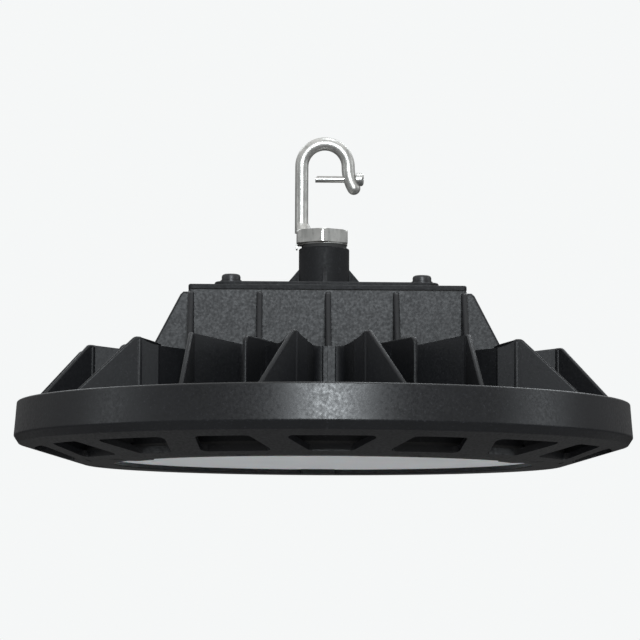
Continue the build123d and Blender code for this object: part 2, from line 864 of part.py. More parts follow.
def hook_bar():
    """Round rod of the hook, from the foot round the eye to its rounded tip."""
    start = (hook_shank_x, 0, hex_top - overrun)
    shoulder = (hook_shank_x, 0, hook_eye_height)
    crest = (hook_eye_offset, 0, hook_eye_height + hook_bend_radius)
    tip = hook_tip_place(hook_tip_bend)
    path = Wire(
        [
            Line(start, shoulder),
            ThreePointArc(shoulder, crest, hook_tip_place(0)),
            ThreePointArc(hook_tip_place(0), hook_tip_place(hook_tip_bend / 2), tip),
        ]
    )
    section = Plane(origin=start, z_dir=(0, 0, 1)) * Circle(hook_rod_radius)
    return sweep(section, path) + Pos(*tip) * Sphere(hook_rod_radius)


def make_hook():
    """Cast hook: threaded stub, hexagonal foot, shank, eye and open end."""
    stub_bottom = stem_top - stem_bore_depth + hook_stub_gap
    stub = rod(hook_stub_radius, stub_bottom, hook_seat + overrun)
    stub = chamfer(stub.faces().sort_by(Axis.Z)[0].edges(), hook_stub_chamfer)
    root_top = hex_top + hook_foot_flare_height
    root = Cone(hook_rod_radius + hook_foot_flare, hook_rod_radius, hook_foot_flare_height)
    root = Pos(hook_shank_x, 0, (hex_top + root_top) / 2) * root
    root &= block(hook_hex_flats, hook_hex_flats, hex_top, root_top, hook_hex_offset)
    hook = stub + [hook_foot(), hook_bar(), root]
    hole = Rot(0, 90, 0) * Cylinder(lock_screw_radius + thread_clearance, 2 * hook_bend_radius)
    seat_length = 2 * hook_rod_radius
    seat = Rot(0, 90, 0) * Cylinder(lock_screw_head_radius + screw_clearance, seat_length)
    return hook - [
        Pos(hook_open_x, 0, lock_screw_height) * hole,
        Pos(lock_screw_seat_x + seat_length / 2, 0, lock_screw_height) * seat,
    ]


def make_lock_screw():
    """Screw across the hook's open end that keeps the hook closed."""
    tip_x = hook_shank_x + hook_rod_radius + lock_screw_gap
    length = lock_screw_seat_x - tip_x
    shank = Rot(0, 90, 0) * Cylinder(lock_screw_radius, length)
    bevel = Rot(0, lock_screw_tip_angle, 0) * Box(lock_screw_radius, length, length)
    bevel = Pos(-length / 2, 0, lock_screw_radius) * bevel
    head = Rot(0, 90, 0) * Cylinder(lock_screw_head_radius, lock_screw_head_thickness)
    head = fillet(head.faces().sort_by(Axis.X)[-1].edges(), lock_screw_head_round)
    slot = Box(2 * cross_slot_depth, 2.5 * lock_screw_head_radius, cross_slot_width)
    head -= Pos(lock_screw_head_thickness / 2, 0, 0) * slot
    screw = shank - bevel + Pos((length + lock_screw_head_thickness) / 2, 0, 0) * head
    return Pos(tip_x + length / 2, 0, lock_screw_height) * screw


def make_hook_washer():
    """Tab washer under the hook's foot, its tab bent down beside the stem."""
    bottom = stem_top + hook_gasket_thickness
    inner = hook_stub_radius + screw_clearance
    washer = tube(hook_washer_radius, inner, bottom, hook_seat)
    arm_inner = (hook_washer_radius + inner) / 2
    arm_middle = (hook_tab_reach + arm_inner) / 2
    arm = block(hook_tab_reach - arm_inner, hook_tab_width, bottom, hook_seat, -arm_middle)
    tab_x = -hook_tab_reach + hook_washer_thickness / 2
    tab = block(hook_washer_thickness, hook_tab_width, hook_seat - hook_tab_drop, hook_seat, tab_x)
    return washer + [arm, tab]


def make_hook_gasket():
    """Rubber ring between the stem and the tab washer."""
    inner = hook_stub_radius + screw_clearance
    return tube(hook_gasket_radius, inner, stem_top, stem_top + hook_gasket_thickness)


def make_set_screw():
    """Set screw in the rear of the stem, against the hook's stub."""
    length = stem_radius - hook_stub_radius
    socket = extrude(RegularPolygon(set_screw_socket, 6), length)
    screw = rod(set_screw_radius, 0, length) - Pos(0, 0, length - set_screw_socket_depth) * socket
    return rearward(screw, 0, set_screw_height, hook_stub_radius)


def make_lens():
    """Milky polycarbonate lens, one flat disc with screw holes near its edge."""
    hole_radius = ring_screw_radius + screw_clearance
    holes = ring_screw_holes(hole_radius, lens_bottom - overrun, lens_top + overrun)
    return rod(lens_radius, lens_bottom, lens_top) - holes


def make_lens_gasket():
    """Silicone seal between the lens and the heat sink's rim."""
    hole_radius = ring_screw_radius + screw_clearance
    holes = ring_screw_holes(hole_radius, lens_top - overrun, rim_bottom + overrun)
    return tube(rim_outer_radius, rim_inner_radius, lens_top, rim_bottom) - holes


def make_ring_screws():
    """Countersunk screws that clamp ring, lens and gasket to the heat sink."""
    head_depth = ring_screw_head_radius - ring_screw_radius
    head = Pos(0, 0, head_depth / 2) * Cone(ring_screw_head_radius, ring_screw_radius, head_depth)
    shank = rod(ring_screw_radius, head_depth / 2, ring_screw_length)
    slot_length = 1.2 * ring_screw_head_radius
    slot = block(cross_slot_width, slot_length, -overrun, cross_slot_depth)
    screw = head + shank - slot - turned(slot, 90)
    placed = Pos(0, -ring_screw_circle, ring_screw_sink) * screw
    return Compound(repeated(placed, sector_count, sector_angle / 2))


def board_holes():
    """Cutters for the screws and the lead through board and pad."""
    hole_radius = board_screw_radius + screw_clearance
    bottom = board_bottom - overrun
    hole = rod(hole_radius, bottom, plate_top, 0, -board_screw_circle)
    holes = repeated(hole, sector_count, sector_angle / 2)
    holes.append(rod(lead_hole_radius, bottom, plate_top, lead_hole_x, lead_hole_y))
    return holes


def make_led_board():
    """Round aluminium-core board that carries the LEDs."""
    return rod(board_radius, board_bottom, board_bottom + board_thickness) - board_holes()


def make_thermal_pad():
    """Heat-conducting sheet between the board and the heat sink."""
    return rod(board_radius, led_plate_bottom - pad_thickness, led_plate_bottom) - board_holes()


def make_leds():
    """LED packages in rings on the board's underside, left out round the lead terminal."""
    keep_x = board_terminal_size[0] / 2 + led_size
    keep_y = board_terminal_size[1] / 2 + led_size
    chips = []
    for inset, count in zip(led_ring_insets, led_ring_counts):
        radius = board_radius - inset
        chip = block(led_size, led_size, board_bottom - led_height, board_bottom, 0, -radius)
        for number in range(count):
            angle = (number + 0.5) * 360 / count
            x, y = plan_point(radius, angle)
            if abs(x - board_terminal_x) > keep_x or abs(y - lead_hole_y) > keep_y:
                chips.append(turned(chip, angle))
    return Compound(chips)


def make_board_screws():
    """Pan-head screws that press the board against the heat sink."""
    head = rod(board_screw_head_radius, board_bottom - board_screw_head_height, board_bottom)
    head = fillet(head.faces().sort_by(Axis.Z)[0].edges(), board_screw_head_round)
    screw = head + rod(board_screw_radius, board_bottom, board_bottom + board_screw_length)
    placed = Pos(0, -board_screw_circle, 0) * screw
    return Compound(repeated(placed, sector_count, sector_angle / 2))


def make_board_terminal():
    """Lead terminal on the board's underside, beside the lead's hole."""
    width, depth, height = board_terminal_size
    body = block(width, depth, board_bottom - height, board_bottom, board_terminal_x, lead_hole_y)
    entry = Rot(0, 90, 0) * Cylinder(wire_radius + lead_clearance, 2 * board_terminal_entry)
    return body - Pos(board_terminal_x + width / 2, lead_hole_y, board_bottom - height / 2) * entry


def make_grommet():
    """Rubber grommet that lines the lead's hole in the LED plate."""
    flange_top = plate_top + grommet_flange_thickness
    sleeve = rod(lead_hole_radius, led_plate_bottom, plate_top, lead_hole_x, lead_hole_y)
    flange = rod(grommet_flange_radius, plate_top, flange_top, lead_hole_x, lead_hole_y)
    bore_bottom = led_plate_bottom - overrun
    bore = rod(jacket_radius, bore_bottom, flange_top + overrun, lead_hole_x, lead_hole_y)
    return sleeve + flange - bore


def make_driver():
    """Sealed LED driver with an ear at each end."""
    case = block(driver_width, driver_length, driver_bottom, driver_top, 0, driver_offset)
    case = fillet(case.edges().filter_by(Axis.Z), driver_corner)
    case = fillet(top_edges(case), driver_edge)
    ear_width = driver_width - 2 * driver_ear_inset
    ear_length = driver_length + 2 * driver_ear_length
    ears = block(ear_width, ear_length, driver_bottom, driver_ear_top, 0, driver_offset)
    hole_radius = driver_screw_radius + lead_clearance
    holes = []
    for x, y in driver_screw_places():
        holes.append(rod(hole_radius, driver_bottom - overrun, driver_ear_top + overrun, x, y))
    return case + ears - holes


def make_driver_pad():
    """Thermal pad under the driver."""
    return block(driver_width, driver_length, plate_top, driver_bottom, 0, driver_offset)


def make_driver_screws():
    """Screws that hold the driver's ears to the housing floor."""
    head_top = driver_ear_top + driver_screw_head_height
    head = rod(driver_screw_head_radius, driver_ear_top, head_top)
    shank_bottom = plate_top - driver_screw_depth + driver_screw_gap
    screw = head + rod(driver_screw_radius, shank_bottom, driver_ear_top)
    return Compound([Pos(x, y, 0) * screw for x, y in driver_screw_places()])


def make_terminal_block():
    """Three-way terminal block on the driver, for the supply leads."""
    width, depth, height = terminal_block_size
    top = driver_top + height
    body = block(width, depth, driver_top, top, 0, terminal_block_y)
    body = chamfer(top_edges(body), terminal_block_chamfer)
    well_y = terminal_block_y + terminal_well_offset
    well = rod(terminal_well_radius, top - terminal_well_depth, top + overrun, 0, well_y)
    entry = Rot(90, 0, 0) * Cylinder(wire_radius + lead_clearance, 2 * terminal_entry_depth)
    entry = Pos(0, terminal_block_y + depth / 2, driver_top + terminal_entry_height) * entry
    for number in (-1, 0, 1):
        body -= Pos(number * terminal_pitch, 0, 0) * (well + entry)
    return body


def make_supply_leads():
    """Three leads from the gland's inner mouth to the terminal block."""
    start_y = cavity_half - gland_inner_length
    block_rear = terminal_block_y + terminal_block_size[1] / 2
    entry_z = driver_top + terminal_entry_height
    leads = []
    for number in (-1, 0, 1):
        start_x = gland_x + number * supply_lead_pitch
        end_x = number * terminal_pitch
        points = [
            (start_x, start_y, wall_fitting_height),
            (start_x, start_y - supply_lead_start, wall_fitting_height),
            (end_x, block_rear + supply_lead_run, entry_z),
            (end_x, block_rear - supply_lead_entry, entry_z),
        ]
        leads.append(wire_run(points, wire_radius, wire_bend))
    return Compound(leads)


def make_earth_lead():
    """Earth lead with its ring tongue, from the block's side to the earth boss."""
    tongue_top = earth_boss_top + ring_tongue_thickness
    tongue_hole = earth_screw_radius + lead_clearance
    tongue = tube(ring_tongue_radius, tongue_hole, earth_boss_top, tongue_top, earth_boss_x, earth_boss_y)
    width, length, height = ring_barrel_size
    barrel_start = earth_boss_y + ring_tongue_radius - ring_tongue_thickness / 3
    barrel_y = barrel_start + length / 2
    barrel = block(width, length, earth_boss_top, earth_boss_top + height, earth_boss_x, barrel_y)
    wire_z = earth_boss_top + height / 2
    turn_y = barrel_y + earth_lead_run
    entry_z = driver_top + earth_entry_height
    points = [
        (earth_boss_x, barrel_y, wire_z),
        (earth_boss_x, turn_y, wire_z),
        (earth_boss_x, turn_y, entry_z),
        (earth_boss_x, terminal_block_y, entry_z),
        (-terminal_block_size[0] / 2, terminal_block_y, entry_z),
    ]
    return tongue + [barrel, wire_run(points, wire_radius, wire_bend)]


def make_earth_screw():
    """Earth screw in its boss on the housing floor."""
    seat = earth_boss_top + ring_tongue_thickness
    head_top = seat + earth_screw_head_height
    head = rod(earth_screw_head_radius, seat, head_top)
    head = fillet(top_edges(head), earth_screw_head_round)
    shank_bottom = earth_boss_top - earth_screw_depth + earth_screw_gap
    slot_length = 2 * earth_screw_head_radius
    slot = block(earth_screw_slot_width, slot_length, head_top - earth_screw_slot_depth, head_top + overrun)
    screw = head + rod(earth_screw_radius, shank_bottom, seat) - slot
    return Pos(earth_boss_x, earth_boss_y, 0) * screw


def make_output_lead():
    """Jacketed lead from the driver's side down through the plate to the board."""
    exit_z = driver_bottom + driver_exit_height
    entry_x = lead_hole_x - board_terminal_gap
    entry_z = board_bottom - board_terminal_size[2] / 2
    jacket_points = [
        (driver_width / 2, lead_hole_y, exit_z),
        (lead_hole_x, lead_hole_y, exit_z),
        (lead_hole_x, lead_hole_y, led_plate_bottom),
    ]
    core_points = [
        (lead_hole_x, lead_hole_y, plate_top),
        (lead_hole_x, lead_hole_y, entry_z),
        (entry_x - board_terminal_entry, lead_hole_y, entry_z),
    ]
    jacket = wire_run(jacket_points, jacket_radius, jacket_bend)
    return jacket + wire_run(core_points, wire_radius, core_bend)


def make_gland_body():
    """Gland body: collet outside the wall, hexagon, thread through the wall."""
    thread_end = -housing_wall - gland_inner_length
    body = hexagon(gland_hex_flats, 0, gland_hex_thickness)
    body = body + rod(gland_collet_radius, 0, gland_bore_top)
    body = body + rod(gland_thread_radius, thread_end, 0)
    body -= rod(gland_mouth_radius, thread_end - overrun, gland_bore_top + overrun)
    body -= rod(gland_seal_radius, gland_bore_top - gland_seal_length, gland_bore_top + overrun)
    return rearward(body, gland_x, wall_fitting_height, housing_half)


def make_gland_seal():
    """Rubber seal inside the gland, gripping the supply cable."""
    seal_bottom = gland_bore_top - gland_seal_length
    seal = tube(gland_seal_radius, gland_cable_radius, seal_bottom, gland_bore_top)
    return rearward(seal, gland_x, wall_fitting_height, housing_half)


def make_gland_nut():
    """Domed nut over the gland's collet."""
    start = gland_hex_thickness + gland_nut_gap
    end = start + gland_nut_length
    dome = rod(gland_nut_flats / sqrt(3) - gland_nut_trim, start, end)
    nut = hexagon(gland_nut_flats, start, end) & fillet(top_edges(dome), gland_nut_dome)
    nut -= rod(gland_collet_radius + thread_clearance, start - overrun, gland_bore_top + thread_clearance)
    nut -= rod(gland_mouth_radius, start, end + overrun)
    return rearward(nut, gland_x, wall_fitting_height, housing_half)


def make_wall_nut(flats, thickness, thread_radius, x):
    """Thin hexagonal nut against the inner face of the housing's rear wall."""
    nut = hexagon(flats, -housing_wall - thickness, -housing_wall)
    hole_bottom = -housing_wall - thickness - overrun
    nut -= rod(thread_radius + thread_clearance, hole_bottom, 0)
    return rearward(nut, x, wall_fitting_height, housing_half)


def make_breather():
    """Breather plug that equalises pressure, with its slotted cap outside."""
    base = breather_ring_thickness
    cap_top = base + breather_cap_height
    cap = rod(breather_cap_radius, base, cap_top)
    cap = fillet(top_edges(cap), breather_cap_round)
    slot = Box(2 * breather_cap_radius + overrun, breather_slot_width, breather_slot_height)
    slot = Pos(0, 0, base + breather_slot_rise) * slot
    core = rod(breather_cap_radius - breather_slot_width, base, cap_top)
    thread = rod(breather_thread_radius, -breather_thread_length, base + overrun)
    plug = cap - repeated(slot, 6) + [core, thread]
    plug -= rod(breather_vent_radius, -breather_thread_length - overrun, base + breather_slot_width)
    return rearward(plug, breather_x, wall_fitting_height, housing_half)


def make_breather_ring():
    """Rubber ring under the breather's cap."""
    outer = breather_cap_radius - breather_ring_inset
    inner = breather_thread_radius + lead_clearance
    ring = tube(outer, inner, 0, breather_ring_thickness)
    return rearward(ring, breather_x, wall_fitting_height, housing_half)


os.makedirs("parts", exist_ok=True)
nodes = {
    "vent_ring": make_vent_ring(),
    "heat_sink": make_heat_sink(),
    "driver_housing": make_driver_housing(),
    "housing_cover": make_cover(),
    "cover_gasket": make_cover_gasket(),
    "cover_screws": make_cover_screws(),
    "cover_washers": make_cover_washers(),
    "suspension_hook": make_hook(),
    "hook_lock_screw": make_lock_screw(),
    "hook_tab_washer": make_hook_washer(),
    "hook_gasket": make_hook_gasket(),
    "stem_set_screw": make_set_screw(),
    "lens": make_lens(),
    "lens_gasket": make_lens_gasket(),
    "ring_screws": make_ring_screws(),
    "led_board": make_led_board(),
    "thermal_pad": make_thermal_pad(),
    "led_packages": make_leds(),
    "board_screws": make_board_screws(),
    "board_terminal": make_board_terminal(),
    "lead_grommet": make_grommet(),
    "output_lead": make_output_lead(),
    "led_driver": make_driver(),
    "driver_pad": make_driver_pad(),
    "driver_screws": make_driver_screws(),
    "terminal_block": make_terminal_block(),
    "supply_leads": make_supply_leads(),
    "earth_lead": make_earth_lead(),
    "earth_screw": make_earth_screw(),
    "cable_gland": make_gland_body(),
    "gland_seal": make_gland_seal(),
    "gland_nut": make_gland_nut(),
    "gland_locknut": make_wall_nut(
        gland_locknut_flats, gland_locknut_thickness, gland_thread_radius, gland_x
    ),
    "breather_plug": make_breather(),
    "breather_ring": make_breather_ring(),
    "breather_nut": make_wall_nut(
        breather_nut_flats, breather_nut_thickness, breather_thread_radius, breather_x
    ),
}
for name, shape in nodes.items():
    export_step(shape, f"parts/{name}.step")
    print(name, round(shape.volume / 1000, 2), "cm3")
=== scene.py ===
"""Looks of the high bay light: powder-coated castings, galvanised hook, milky lens.

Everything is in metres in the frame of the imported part. The fixture's axis is Z,
its front faces -Y, and the light leaves through the lens in the underside.
"""

import json
import logging
import math
from dataclasses import dataclass
from enum import Enum
from typing import Optional, Sequence, Union

import bmesh
import bpy
from mathutils import Matrix, Vector

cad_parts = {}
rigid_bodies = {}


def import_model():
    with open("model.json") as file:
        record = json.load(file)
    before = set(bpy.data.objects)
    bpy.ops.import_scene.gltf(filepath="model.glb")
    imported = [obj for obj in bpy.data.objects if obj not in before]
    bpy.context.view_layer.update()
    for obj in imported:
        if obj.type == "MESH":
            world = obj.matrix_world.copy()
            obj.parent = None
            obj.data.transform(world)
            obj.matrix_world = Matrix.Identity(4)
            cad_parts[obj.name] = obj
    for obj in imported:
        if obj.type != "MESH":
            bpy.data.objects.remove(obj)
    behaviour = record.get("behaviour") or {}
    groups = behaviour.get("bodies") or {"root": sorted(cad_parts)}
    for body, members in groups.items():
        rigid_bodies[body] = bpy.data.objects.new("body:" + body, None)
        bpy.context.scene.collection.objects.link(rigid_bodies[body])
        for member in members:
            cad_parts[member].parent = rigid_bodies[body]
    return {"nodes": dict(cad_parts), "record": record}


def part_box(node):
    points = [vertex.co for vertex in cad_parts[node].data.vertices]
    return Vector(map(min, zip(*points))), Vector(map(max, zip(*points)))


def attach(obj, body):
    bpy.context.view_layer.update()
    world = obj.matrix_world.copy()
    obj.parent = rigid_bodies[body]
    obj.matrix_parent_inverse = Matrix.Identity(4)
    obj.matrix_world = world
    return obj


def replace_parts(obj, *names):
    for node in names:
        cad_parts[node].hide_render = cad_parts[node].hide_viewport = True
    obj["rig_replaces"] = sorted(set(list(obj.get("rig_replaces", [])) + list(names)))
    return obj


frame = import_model()

LOG = logging.getLogger("high_bay_light")
MM = 0.001
MM_IN_M = 1000

# How near two vertices are to be one, and how flat two faces
MERGE_MM = 0.002
FLAT_DEGREES = 0.6

# How steep an edge is to be broken, and in how many steps
BROKEN_DEGREES = 48.0
EDGE_STEPS = 2

# How steep an edge is to stay sharp in shading, and how much large faces count
SMOOTH_DEGREES = 32.0
FACE_WEIGHT = 80

# The Mix node's factor, first colour and second colour, and its colour output
MIX_INPUTS = (0, 6, 7)
MIX_OUTPUT = 2

Color = tuple[float, float, float]
Operand = Union["Signal", float, int, Sequence[float]]


class Edge(Enum):
    """How much the sharp edges of a piece are broken, in millimetres."""

    AS_CAST = 0.5
    TURNED = 0.25
    STAMPED = 0.12
    KEPT = 0.0


class Signal:
    """The output of a node, with arithmetic that adds nodes to the same material."""

    def __init__(self, graph: "Graph", socket: Optional[bpy.types.NodeSocket]) -> None:
        """Keeps the graph and the socket that the value comes from."""
        self.graph = graph
        self.socket = socket

    def __add__(self, other: Operand) -> "Signal":
        """Sum with a number or another signal."""
        return self.graph.arithmetic("ADD", self, other)

    def __radd__(self, other: Operand) -> "Signal":
        """Sum with a number that stands first."""
        return self.graph.arithmetic("ADD", other, self)

    def __mul__(self, other: Operand) -> "Signal":
        """Product with a number or another signal."""
        return self.graph.arithmetic("MULTIPLY", self, other)

    def __rmul__(self, other: Operand) -> "Signal":
        """Product with a number that stands first."""
        return self.graph.arithmetic("MULTIPLY", other, self)

    def clamped(self, low: float, high: float) -> "Signal":
        """Signal spread from low..high to zero..one and held there.

        Args:
            low: Value that becomes zero.
            high: Value that becomes one.

        Returns:
            The spread signal.
        """
        inputs = {"Value": self, "From Min": low, "From Max": high}
        return self.graph.add("ShaderNodeMapRange", inputs)


class Graph:
    """The node tree of one material or of the surroundings."""

    def __init__(self, owner: Union[bpy.types.Material, bpy.types.World]) -> None:
        """Empties the owner's tree.

        Args:
            owner: New material or world.
        """
        owner.use_nodes = True
        self.owner = owner
        self.tree = owner.node_tree
        self.tree.nodes.clear()

    @classmethod
    def of_material(cls, name: str) -> "Graph":
        """Empty tree of a new material."""
        return cls(bpy.data.materials.new(name))

    def add(
        self,
        kind: str,
        inputs: Optional[dict[Union[str, int], Operand]] = None,
        output: Union[str, int] = 0,
        **settings: object,
    ) -> Signal:
        """Adds a node. Every node of a material is made here.

        Args:
            kind: Blender's name for the node type.
            inputs: Values or signals by input name or number.
            output: Number or name of the output to return.
            settings: Properties to set on the node.

        Returns:
            The chosen output.
        """
        node = self.tree.nodes.new(kind)
        for key, value in settings.items():
            setattr(node, key, value)
        for key, value in (inputs or {}).items():
            socket = node.inputs[key]
            if isinstance(value, Signal):
                self.tree.links.new(value.socket, socket)
            else:
                socket.default_value = value
        return Signal(self, node.outputs[output] if node.outputs else None)

    def arithmetic(self, operation: str, first: Operand, second: Operand) -> Signal:
        """One step of arithmetic between two values."""
        return self.add("ShaderNodeMath", {0: first, 1: second}, operation=operation)

    def place(self) -> Signal:
        """Object coordinates of the surface."""
        return self.add("ShaderNodeTexCoord", output="Object")

    def noise(
        self,
        scale: float,
        detail: float = 2.0,
        stretch: Sequence[float] = (1.0, 1.0, 1.0),
        seed: float = 0.0,
    ) -> Signal:
        """Soft noise in object coordinates.

        Args:
            scale: Features per metre.
            detail: Number of finer layers.
            stretch: Scale along X, Y and Z.
            seed: Shift of the pattern.

        Returns:
            Noise between zero and one.
        """
        shift = (seed, seed, seed)
        inputs = {"Vector": self.place(), "Scale": stretch, "Location": shift}
        spot = self.add("ShaderNodeMapping", inputs)
        return self.add("ShaderNodeTexNoise", {"Vector": spot, "Scale": scale, "Detail": detail})

    def mix(self, amount: Operand, first: Operand, second: Operand) -> Signal:
        """Colour between two colours.

        Args:
            amount: Zero for the first colour, one for the second.
            first: Colour or signal.
            second: Colour or signal.

        Returns:
            The mixed colour.
        """
        inputs = dict(zip(MIX_INPUTS, (amount, opaque(first), opaque(second))))
        return self.add("ShaderNodeMix", inputs, output=MIX_OUTPUT, data_type="RGBA")

    def relief(self, height: Signal, depth: float, strength: float) -> Signal:
        """Surface relief from a height signal.

        Args:
            height: Height between zero and one.
            depth: Real depth in millimetres.
            strength: How much of the relief shows.

        Returns:
            The bumped normal.
        """
        inputs = {"Height": height, "Distance": depth * MM, "Strength": strength}
        return self.add("ShaderNodeBump", inputs)

    def finish(self, **inputs: Operand) -> bpy.types.Material:
        """Adds the surface shader and closes the material.

        Args:
            inputs: Shader inputs, with underscores for the spaces in their names.

        Returns:
            The finished material.
        """
        named = {}
        for key, value in inputs.items():
            named[key.replace("_", " ")] = opaque(value) if "Color" in key else value
        shader = self.add("ShaderNodeBsdfPrincipled", named)
        self.add("ShaderNodeOutputMaterial", {"Surface": shader})
        return self.owner


def opaque(value: Operand) -> Operand:
    """A colour with its alpha, or the signal as it is."""
    if isinstance(value, Signal) or len(value) == 4:
        return value
    return (*value, 1.0)


def shade(color: Color, factor: float) -> Color:
    """A colour made darker or paler, up to white."""
    return tuple(min(1.0, factor * c) for c in color)


@dataclass(frozen=True)
class PowderCoat:
    """Fine-textured powder coat on a casting."""

    name: str = "powder_coat"
    base: Color = (0.006, 0.0064, 0.0074)
    speck: Color = (0.018, 0.019, 0.022)
    roughness: float = 0.47
    gloss: float = 0.4
    grain_mm: float = 1.3
    relief_mm: float = 0.05
    cloud_scale: float = 30.0
    cloud_gain: float = 1.35

    def material(self) -> bpy.types.Material:
        """Builds the material: dark film, paler specks, cloudy sheen and orange peel."""
        graph = Graph.of_material(self.name)
        fine = graph.noise(MM_IN_M / self.grain_mm, 3.0)
        cloud = graph.noise(self.cloud_scale, 3.0, seed=4.0)
        specks = graph.noise(1.4 * MM_IN_M / self.grain_mm, 1.0, seed=9.0).clamped(0.62, 0.78)
        paler = shade(self.base, self.cloud_gain)
        film = graph.mix(cloud.clamped(0.3, 0.75), self.base, paler)
        color = graph.mix(specks, film, self.speck)
        rough = fine.clamped(0.3, 0.7) * 0.16 + (self.roughness - 0.08)
        peel = graph.relief(fine, self.relief_mm, 0.55)
        return graph.finish(
            Base_Color=color, Roughness=rough, Normal=peel, Specular_IOR_Level=self.gloss
        )


@dataclass(frozen=True)
class CastZinc:
    """Hot-dip galvanised casting with a grainy skin."""

    name: str = "galvanised_zinc"
    base: Color = (0.56, 0.555, 0.53)
    stain: Color = (0.2, 0.2, 0.19)
    bloom: Color = (0.78, 0.77, 0.73)
    roughness: float = 0.38
    metallic: float = 0.8
    run_scale: float = 170.0
    patch_scale: float = 90.0
    grain_scale: float = 480.0

    def material(self) -> bpy.types.Material:
        """Builds the material: pale grey zinc with darker runs, patches and grain."""
        graph = Graph.of_material(self.name)
        runs = graph.noise(self.run_scale, 4.0, (1.6, 1.6, 0.35))
        patches = graph.noise(self.patch_scale, 3.0, seed=3.0)
        grain = graph.noise(self.grain_scale, 3.0, seed=7.0)
        color = graph.mix(runs.clamped(0.45, 0.72) * 0.6, self.base, self.stain)
        color = graph.mix(patches.clamped(0.52, 0.72) * 0.4, color, self.bloom)
        color = graph.mix(grain.clamped(0.55, 0.75) * 0.35, color, self.stain)
        rough = runs * 0.25 + (self.roughness - 0.1)
        skin = graph.relief(grain + runs * 0.8, 0.14, 0.5)
        return graph.finish(Base_Color=color, Metallic=self.metallic, Roughness=rough, Normal=skin)


@dataclass(frozen=True)
class Steel:
    """Small steel fastener or washer, bright or blackened."""

    name: str
    base: Color
    metallic: float = 0.9
    roughness: float = 0.34
    mark_scale: float = 900.0
    spot_scale: float = 160.0
    spot_gain: float = 0.7

    def material(self) -> bpy.types.Material:
        """Builds the material: even metal with fine turning marks and dull spots."""
        graph = Graph.of_material(self.name)
        marks = graph.noise(self.mark_scale, 2.0, (1.0, 1.0, 3.0))
        dull = graph.noise(self.spot_scale, 3.0, seed=2.0)
        darker = shade(self.base, self.spot_gain)
        color = graph.mix(dull.clamped(0.4, 0.8) * 0.4, self.base, darker)
        rough = dull * 0.22 + (self.roughness - 0.1)
        skin = graph.relief(marks, 0.02, 0.4)
        return graph.finish(Base_Color=color, Metallic=self.metallic, Roughness=rough, Normal=skin)


@dataclass(frozen=True)
class MilkyPlastic:
    """Diffusing lens plate that passes a little light."""

    name: str = "milky_lens"
    base: Color = (0.64, 0.65, 0.66)
    haze: Color = (0.6, 0.61, 0.62)
    roughness: float = 0.32
    scatter: float = 0.15
    scatter_depth: float = 4 * MM
    refraction: float = 1.58
    cloud_scale: float = 26.0
    texture_scale: float = 1300.0

    def material(self) -> bpy.types.Material:
        """Builds the material: pale plate with faint cloudiness and a satin skin."""
        graph = Graph.of_material(self.name)
        cloud = graph.noise(self.cloud_scale, 3.0)
        texture = graph.noise(self.texture_scale, 2.0, seed=5.0)
        color = graph.mix(cloud.clamped(0.35, 0.7), self.base, self.haze)
        rough = texture * 0.12 + (self.roughness - 0.06)
        skin = graph.relief(texture, 0.03, 0.35)
        return graph.finish(
            Base_Color=color,
            Roughness=rough,
            Normal=skin,
            Subsurface_Weight=self.scatter,
            Subsurface_Scale=self.scatter_depth,
            IOR=self.refraction,
        )


@dataclass(frozen=True)
class Moulded:
    """Moulded plastic or rubber in one colour."""

    name: str
    base: Color
    roughness: float = 0.5
    grain_mm: float = 0.6
    relief_mm: float = 0.04
    cloud_scale: float = 60.0
    cloud_gain: float = 1.25

    def material(self) -> bpy.types.Material:
        """Builds the material: slight cloudiness with an eroded mould texture."""
        graph = Graph.of_material(self.name)
        texture = graph.noise(MM_IN_M / self.grain_mm)
        cloud = graph.noise(self.cloud_scale, seed=6.0)
        paler = shade(self.base, self.cloud_gain)
        color = graph.mix(cloud.clamped(0.3, 0.8) * 0.6, self.base, paler)
        rough = texture * 0.14 + (self.roughness - 0.07)
        skin = graph.relief(texture, self.relief_mm, 0.5)
        return graph.finish(Base_Color=color, Roughness=rough, Normal=skin)


@dataclass(frozen=True)
class StripedInsulation:
    """Two-colour insulation of the earth lead."""

    name: str = "earth_insulation"
    base: Color = (0.07, 0.33, 0.06)
    stripe: Color = (0.8, 0.7, 0.06)
    stripe_scale: float = 95.0
    stripe_wobble: float = 1.5
    texture_scale: float = 1500.0

    def material(self) -> bpy.types.Material:
        """Builds the material: two stripes that wind along the lead."""
        graph = Graph.of_material(self.name)
        wave = graph.add(
            "ShaderNodeTexWave",
            {
                "Vector": graph.place(),
                "Scale": self.stripe_scale,
                "Distortion": self.stripe_wobble,
            },
            output="Fac",
            bands_direction="DIAGONAL",
        )
        texture = graph.noise(self.texture_scale)
        color = graph.mix(wave.clamped(0.45, 0.55), self.base, self.stripe)
        rough = texture * 0.1 + 0.35
        skin = graph.relief(texture, 0.02, 0.4)
        return graph.finish(Base_Color=color, Roughness=rough, Normal=skin)


@dataclass(frozen=True)
class Phosphor:
    """LED package: white frame round a yellow phosphor window."""

    name: str = "led_phosphor"
    window: Color = (0.82, 0.62, 0.1)
    frame: Color = (0.85, 0.85, 0.82)
    grain_scale: float = 2500.0
    cloud_scale: float = 200.0

    def material(self) -> bpy.types.Material:
        """Builds the material: speckled phosphor, paler towards the frame."""
        graph = Graph.of_material(self.name)
        grain = graph.noise(self.grain_scale)
        cloud = graph.noise(self.cloud_scale, seed=8.0)
        color = graph.mix(cloud.clamped(0.55, 0.8), self.window, self.frame)
        rough = grain * 0.15 + 0.4
        skin = graph.relief(grain, 0.02, 0.5)
        return graph.finish(Base_Color=color, Roughness=rough, Normal=skin)


